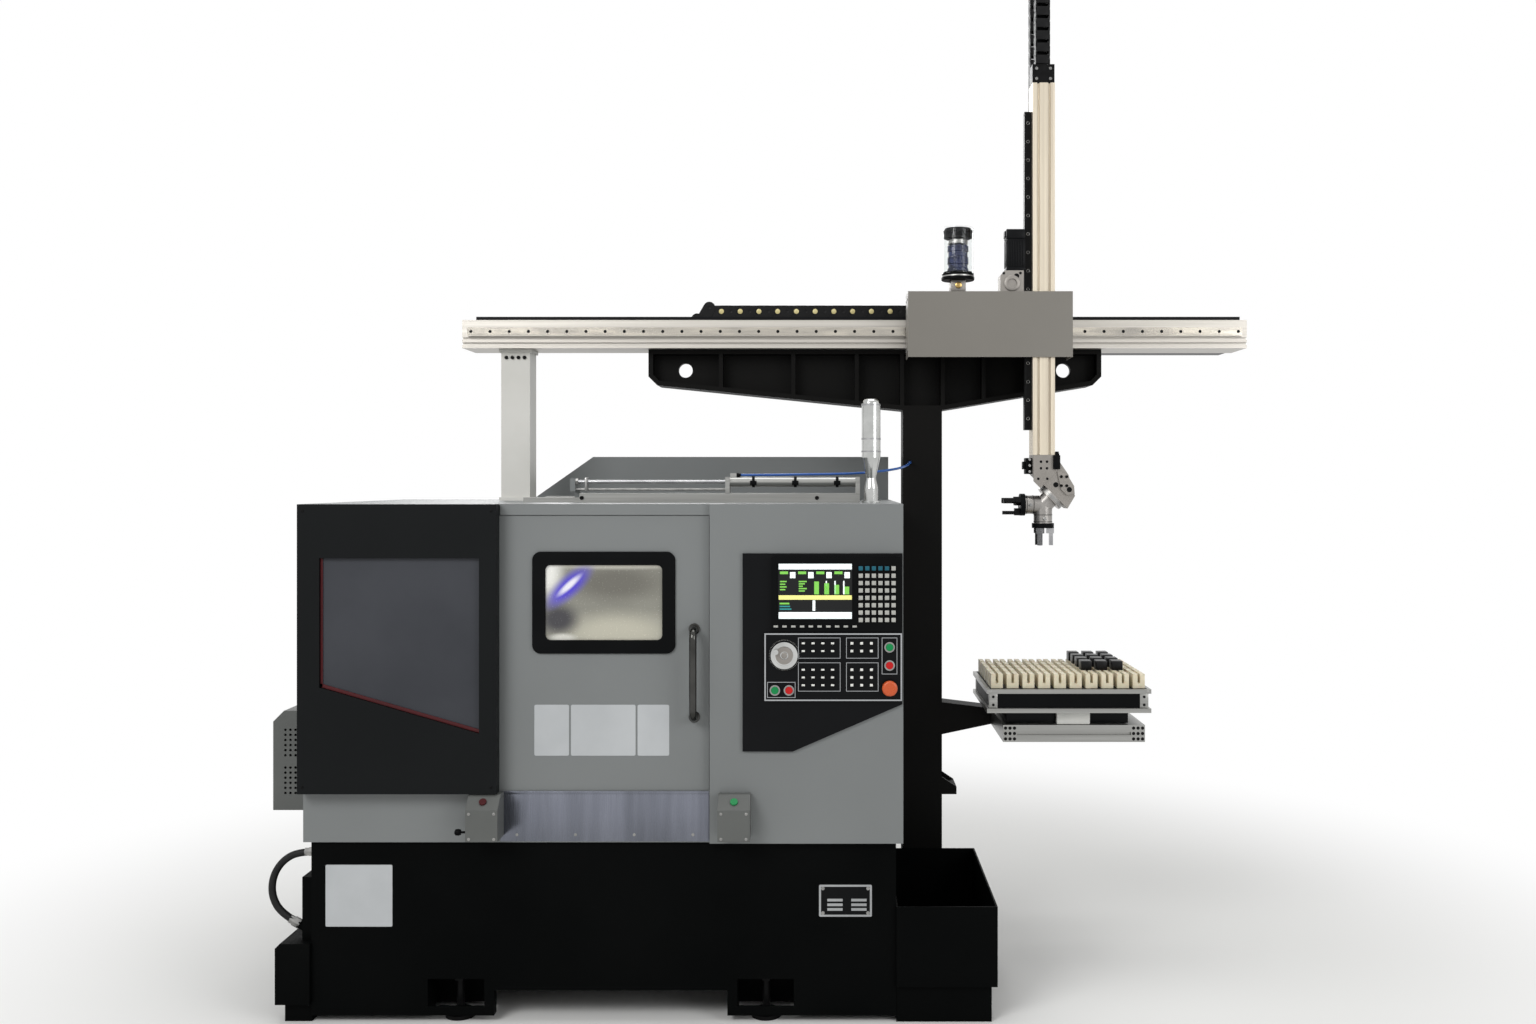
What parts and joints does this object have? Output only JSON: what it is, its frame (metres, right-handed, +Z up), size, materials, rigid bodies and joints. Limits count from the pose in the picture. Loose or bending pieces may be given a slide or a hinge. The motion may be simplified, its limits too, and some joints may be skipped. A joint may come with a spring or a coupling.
{
  "type": "cnc turning lathe",
  "caption": "Slant-bed CNC lathe in a dark enclosure with a sliding door, an overhead gantry loader with twin grippers, and a nest tray of blanks at its right end.",
  "frame": {"origin": "floor level, in the middle of the machine's overall width and depth", "axes": "X to the machine's right seen from the operator, Y from the door to the back, Z up"},
  "size_m": [3.194, 1.32, 3.4745],
  "materials": {
    "painted_black": "satin",
    "painted_charcoal": "satin",
    "painted_grey": "satin",
    "cream_plastic": "matt",
    "painted_white": "satin",
    "cast_iron": "machined",
    "brushed_steel": "brushed",
    "aluminium": "anodised",
    "black_steel": "black oxide",
    "black_plastic": "matt",
    "display_glass": "glossy",
    "window_plastic": "clear",
    "green_plastic": "glossy",
    "red_plastic": "glossy",
    "chrome": "polished",
    "hose_rubber": "matt",
    "blue_hose": "glossy"
  },
  "bodies": {
    "machine": {"air_hose": "blue_hose", "base_frame": "painted_black", "beam": "aluminium", "button_boxes": "painted_grey", "chain_trough": "painted_black", "chip_bin": "painted_black", "cnc_unit": "black_plastic", "control_fascia": "painted_black", "coolant_pump": "painted_black", "coolant_tank": "painted_black", "display_screen": "display_glass", "enclosure_shell": "painted_grey", "gantry_arm": "painted_black", "gantry_column": "painted_black", "headstock": "cast_iron", "hydraulic_hose": "hose_rubber", "left_front_cover": "painted_charcoal", "levelling_feet": "brushed_steel", "operator_panel": "painted_black", "right_front_panel": "painted_grey", "roof_slide": "brushed_steel", "side_vent_cover": "painted_grey", "signal_lamp": "chrome", "support_post": "painted_white", "tray_base_frame": "aluminium", "x_cable_chain": "black_plastic"},
    "door": {"door": "painted_grey", "door_window_frame": "black_plastic", "door_window": "window_plastic", "door_handle": "chrome"},
    "roof_hatch": {"roof_hatch": "painted_grey", "cylinder_rod": "brushed_steel"},
    "spindle": {"chuck": "brushed_steel"},
    "saddle": {"saddle": "cast_iron"},
    "cross_slide": {"cross_slide": "cast_iron"},
    "handwheel": {"handwheel": "chrome"},
    "carriage": {"x_carriage": "aluminium", "carriage_cover": "painted_grey", "grease_cup": "window_plastic", "z_motor": "black_steel", "z_cable_chain": "black_plastic"},
    "z_axis": {"z_beam": "aluminium", "z_rail": "black_steel", "wrist_bracket": "aluminium"},
    "swivel_head": {"swivel_head": "black_steel"},
    "tray": {"tray": "aluminium", "tray_nests": "cream_plastic"},
    "cycle_start_button": {"cycle_start_button": "green_plastic"},
    "feed_hold_button": {"feed_hold_button": "red_plastic"},
    "power_on_button": {"power_on_button": "green_plastic"},
    "power_off_button": {"power_off_button": "red_plastic"},
    "emergency_stop": {"emergency_stop": "red_plastic"},
    "left_box_button": {"left_box_button": "red_plastic"},
    "right_box_button": {"right_box_button": "green_plastic"},
    "left_gripper_jaw_1": {"left_gripper_jaw_1": "brushed_steel"},
    "left_gripper_jaw_2": {"left_gripper_jaw_2": "brushed_steel"},
    "left_gripper_jaw_3": {"left_gripper_jaw_3": "brushed_steel"},
    "down_gripper_jaw_1": {"down_gripper_jaw_1": "brushed_steel"},
    "down_gripper_jaw_2": {"down_gripper_jaw_2": "brushed_steel"},
    "down_gripper_jaw_3": {"down_gripper_jaw_3": "brushed_steel"}
  },
  "joints": [
    {"name": "door_slide", "type": "slide", "parent": "machine", "child": "door", "axis": [-1, 0, 0], "range_m": [0, 0.52]},
    {"name": "hatch_slide", "type": "slide", "parent": "machine", "child": "roof_hatch", "axis": [1, 0, 0], "range_m": [0, 0.4]},
    {"name": "spindle_turn", "type": "hinge", "parent": "machine", "child": "spindle", "pos_m": [-0.524, -0.09, 1.01], "axis": [1, 0, 0], "continuous": true},
    {"name": "saddle_slide", "type": "slide", "parent": "machine", "child": "saddle", "axis": [1, 0, 0], "range_m": [-0.25, 0.25]},
    {"name": "cross_slide_feed", "type": "slide", "parent": "saddle", "child": "cross_slide", "axis": [0, 0.866, 0.5], "range_m": [-0.06, 0.06]},
    {"name": "handwheel_turn", "type": "hinge", "parent": "machine", "child": "handwheel", "pos_m": [0.021, -0.58, 1.111], "axis": [0, 1, 0], "continuous": true},
    {"name": "cycle_start_button_press", "type": "slide", "parent": "machine", "child": "cycle_start_button", "axis": [0, 1, 0], "range_m": [0, 0.004], "stiffness_N_per_m": 800},
    {"name": "feed_hold_button_press", "type": "slide", "parent": "machine", "child": "feed_hold_button", "axis": [0, 1, 0], "range_m": [0, 0.004], "stiffness_N_per_m": 800},
    {"name": "power_on_button_press", "type": "slide", "parent": "machine", "child": "power_on_button", "axis": [0, 1, 0], "range_m": [0, 0.004], "stiffness_N_per_m": 800},
    {"name": "power_off_button_press", "type": "slide", "parent": "machine", "child": "power_off_button", "axis": [0, 1, 0], "range_m": [0, 0.004], "stiffness_N_per_m": 800},
    {"name": "emergency_stop_press", "type": "slide", "parent": "machine", "child": "emergency_stop", "axis": [0, 1, 0], "range_m": [0, 0.004], "stiffness_N_per_m": 1200},
    {"name": "left_box_button_press", "type": "slide", "parent": "machine", "child": "left_box_button", "axis": [0, 0.6887, -0.725], "range_m": [0, 0.004], "stiffness_N_per_m": 800},
    {"name": "right_box_button_press", "type": "slide", "parent": "machine", "child": "right_box_button", "axis": [0, 0.6887, -0.725], "range_m": [0, 0.004], "stiffness_N_per_m": 800},
    {"name": "x_slide", "type": "slide", "parent": "machine", "child": "carriage", "axis": [1, 0, 0], "range_m": [-0.27, 0.28], "deforming": ["x_cable_chain"]},
    {"name": "z_slide", "type": "slide", "parent": "carriage", "child": "z_axis", "axis": [0, 0, 1], "range_m": [-0.36, 0.28], "deforming": ["z_cable_chain"]},
    {"name": "wrist_swivel", "type": "hinge", "parent": "z_axis", "child": "swivel_head", "pos_m": [0.875, -0.09, 1.549], "axis": [0.7071, 0, 0.7071], "range_deg": [0, 180]},
    {"name": "left_gripper_jaw_1_slide", "type": "slide", "parent": "swivel_head", "child": "left_gripper_jaw_1", "axis": [0, 0, 1], "range_m": [0, 0.005]},
    {"name": "left_gripper_jaw_2_slide", "type": "slide", "parent": "swivel_head", "child": "left_gripper_jaw_2", "axis": [0, 0.866, -0.5], "range_m": [0, 0.005]},
    {"name": "left_gripper_jaw_3_slide", "type": "slide", "parent": "swivel_head", "child": "left_gripper_jaw_3", "axis": [0, -0.866, -0.5], "range_m": [0, 0.005]},
    {"name": "down_gripper_jaw_1_slide", "type": "slide", "parent": "swivel_head", "child": "down_gripper_jaw_1", "axis": [-1, 0, 0], "range_m": [0, 0.005]},
    {"name": "down_gripper_jaw_2_slide", "type": "slide", "parent": "swivel_head", "child": "down_gripper_jaw_2", "axis": [0.5, 0.866, 0], "range_m": [0, 0.005]},
    {"name": "down_gripper_jaw_3_slide", "type": "slide", "parent": "swivel_head", "child": "down_gripper_jaw_3", "axis": [0.5, -0.866, 0], "range_m": [0, 0.005]},
    {"name": "tray_slide", "type": "slide", "parent": "machine", "child": "tray", "axis": [0, 1, 0], "range_m": [-0.04, 0.14]}
  ],
  "couplings": [
    {"joint": "left_gripper_jaw_2_slide", "follows": "left_gripper_jaw_1_slide", "ratio": 1},
    {"joint": "left_gripper_jaw_3_slide", "follows": "left_gripper_jaw_1_slide", "ratio": 1},
    {"joint": "down_gripper_jaw_2_slide", "follows": "down_gripper_jaw_1_slide", "ratio": 1},
    {"joint": "down_gripper_jaw_3_slide", "follows": "down_gripper_jaw_1_slide", "ratio": 1}
  ]
}
